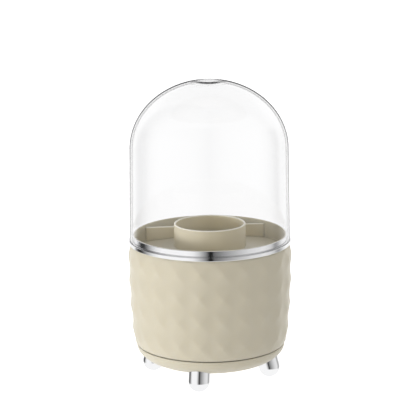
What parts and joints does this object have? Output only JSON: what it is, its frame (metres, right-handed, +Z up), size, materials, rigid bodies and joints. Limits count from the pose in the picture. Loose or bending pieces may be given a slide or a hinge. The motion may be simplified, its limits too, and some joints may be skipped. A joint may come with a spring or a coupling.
{
  "type": "rotating makeup organizer",
  "caption": "Round faceted organizer that turns on a footed dish, with a brush tube, a divided tray, a bright ring and a clear lift-off dome.",
  "frame": {"origin": "on the axis of rotation, at the level of the surface that the feet stand on", "axes": "+Z up along the axis of rotation, -Y towards the front of the picture, +X to its right"},
  "size_m": [0.1314, 0.1304, 0.2398],
  "materials": {
    "beige_plastic": "satin",
    "chrome_plate": "mirror",
    "bright_steel": "bright",
    "inner_plastic": "matte",
    "bearing_plastic": "matte",
    "clear_plastic": "clear polished"
  },
  "bodies": {
    "base": {"base_dish": "beige_plastic", "foot_front": "chrome_plate", "foot_right": "chrome_plate", "foot_back": "chrome_plate", "foot_left": "chrome_plate", "foot_screws": "bright_steel", "spindle": "bright_steel", "spindle_screw": "bright_steel", "lower_race": "bright_steel", "retaining_washer": "bright_steel", "retaining_screw": "bright_steel"},
    "ball_ring": {"ball_cage": "bearing_plastic", "bearing_balls": "bright_steel"},
    "cup": {"turntable_disc": "inner_plastic", "upper_race": "bright_steel", "hub_bush": "bearing_plastic", "turntable_screws": "bright_steel", "outer_shell": "beige_plastic", "organizer_tray": "beige_plastic", "trim_ring": "chrome_plate"},
    "dome": {"dome_cover": "clear_plastic"}
  },
  "joints": [
    {"name": "cup_spin", "type": "hinge", "parent": "base", "child": "cup", "pos_m": [0, 0, 0.0279], "axis": [0, 0, 1], "continuous": true},
    {"name": "ball_ring_spin", "type": "hinge", "parent": "base", "child": "ball_ring", "pos_m": [0, 0, 0.0226], "axis": [0, 0, 1], "continuous": true},
    {"name": "dome_lift", "type": "slide", "parent": "cup", "child": "dome", "axis": [0, 0, 1], "range_m": [0, 0.14]}
  ],
  "couplings": [
    {"joint": "ball_ring_spin", "follows": "cup_spin", "ratio": 0.5}
  ]
}
